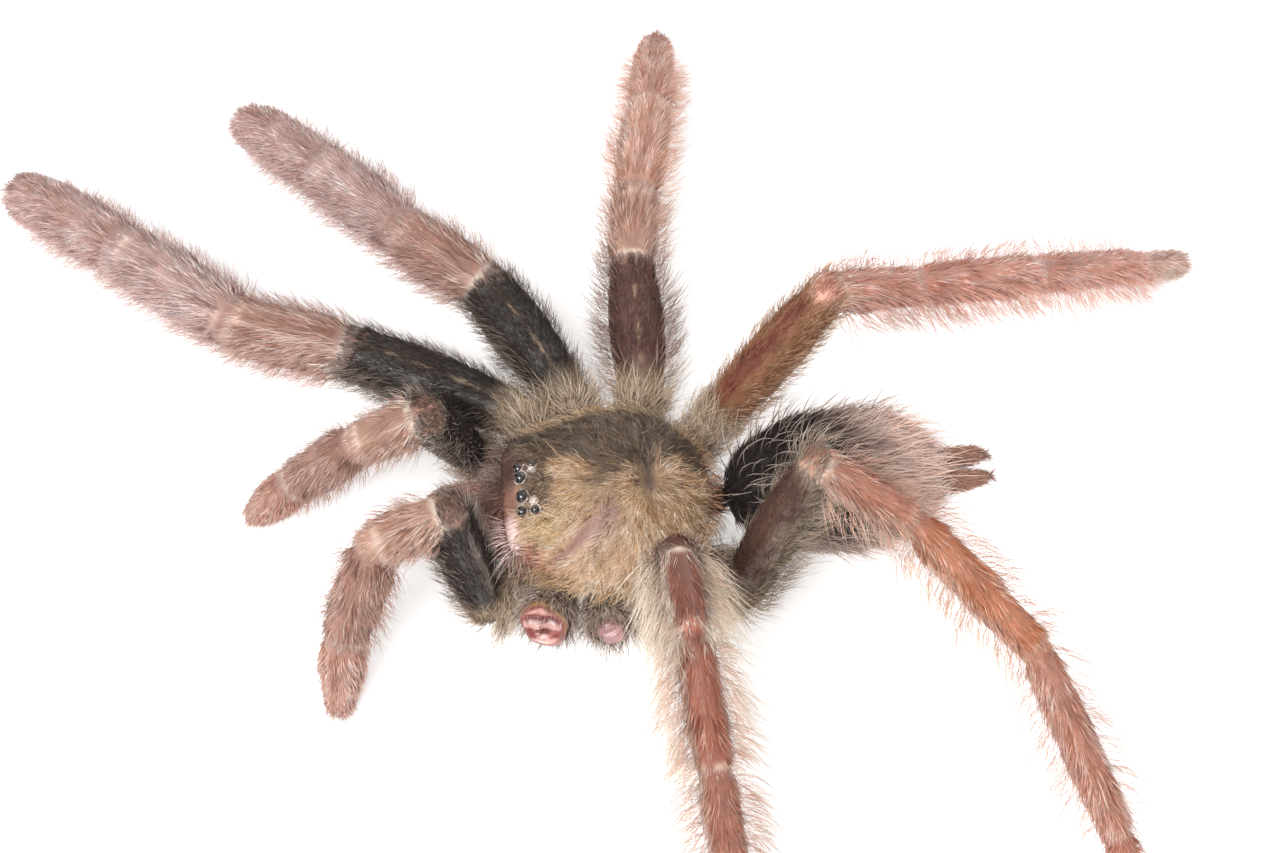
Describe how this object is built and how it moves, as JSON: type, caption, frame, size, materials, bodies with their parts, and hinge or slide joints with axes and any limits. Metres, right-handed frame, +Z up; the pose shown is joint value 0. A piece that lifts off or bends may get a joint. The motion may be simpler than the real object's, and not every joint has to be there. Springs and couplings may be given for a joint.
{
  "type": "tarantula model",
  "caption": "Life-size still model of a hairy tarantula standing with arched left legs; the front left legs are missing and healed.",
  "frame": {"origin": "middle of the bounding box, level with the flats under the feet", "axes": "+Z up, -Y the way the spider faces, +X its left side"},
  "size_m": [0.1136, 0.1352, 0.0276],
  "materials": {
    "tan_leg_coat": "dense pinkish-tan setae over brown cuticle",
    "rust_leg_coat": "rust-brown setae with a long pale fringe",
    "femur_coat": "short near-black pile with a fine bald line along the back",
    "carapace_coat": "flat golden-olive hair over mauve-brown cuticle",
    "body_coat": "dark brown velvet with longer pale hairs",
    "jaw_coat": "red-brown cuticle with rows of long pale bristles",
    "bare_membrane": "moist pinkish membrane in a tan ring",
    "fang_gloss": "polished black",
    "eye_gloss": "wet black, the small ones pale"
  },
  "bodies": {
    "root": {"abdomen": "body_coat", "carapace": "carapace_coat", "chelicera_left": "jaw_coat", "chelicera_right": "jaw_coat", "eye_front_middle_left": "eye_gloss", "eye_front_middle_right": "eye_gloss", "eye_front_side_left": "eye_gloss", "eye_front_side_right": "eye_gloss", "eye_rear_middle_left": "eye_gloss", "eye_rear_middle_right": "eye_gloss", "eye_rear_side_left": "eye_gloss", "eye_rear_side_right": "eye_gloss", "fang_left": "fang_gloss", "fang_right": "fang_gloss", "leg_left_3_coxa": "body_coat", "leg_left_3_femur": "femur_coat", "leg_left_3_foot": "rust_leg_coat", "leg_left_3_patella": "rust_leg_coat", "leg_left_3_tibia": "rust_leg_coat", "leg_left_4_coxa": "body_coat", "leg_left_4_femur": "femur_coat", "leg_left_4_foot": "rust_leg_coat", "leg_left_4_patella": "rust_leg_coat", "leg_left_4_tibia": "rust_leg_coat", "leg_right_1_coxa": "body_coat", "leg_right_1_femur": "femur_coat", "leg_right_1_foot": "tan_leg_coat", "leg_right_1_patella": "tan_leg_coat", "leg_right_1_tibia": "tan_leg_coat", "leg_right_2_coxa": "body_coat", "leg_right_2_femur": "femur_coat", "leg_right_2_foot": "tan_leg_coat", "leg_right_2_patella": "tan_leg_coat", "leg_right_2_tibia": "tan_leg_coat", "leg_right_3_coxa": "body_coat", "leg_right_3_femur": "femur_coat", "leg_right_3_foot": "tan_leg_coat", "leg_right_3_patella": "tan_leg_coat", "leg_right_3_tibia": "tan_leg_coat", "leg_right_4_coxa": "body_coat", "leg_right_4_femur": "femur_coat", "leg_right_4_foot": "tan_leg_coat", "leg_right_4_patella": "tan_leg_coat", "leg_right_4_tibia": "tan_leg_coat", "palp_left_coxa": "body_coat", "palp_left_femur": "femur_coat", "palp_left_patella": "tan_leg_coat", "palp_left_tarsus": "tan_leg_coat", "palp_left_tibia": "tan_leg_coat", "palp_right_coxa": "body_coat", "palp_right_femur": "femur_coat", "palp_right_patella": "tan_leg_coat", "palp_right_tarsus": "tan_leg_coat", "palp_right_tibia": "tan_leg_coat", "spinneret_left": "body_coat", "spinneret_right": "body_coat", "sternum": "body_coat", "stump_left_1": "bare_membrane", "stump_left_2": "bare_membrane"}
  },
  "joints": []
}
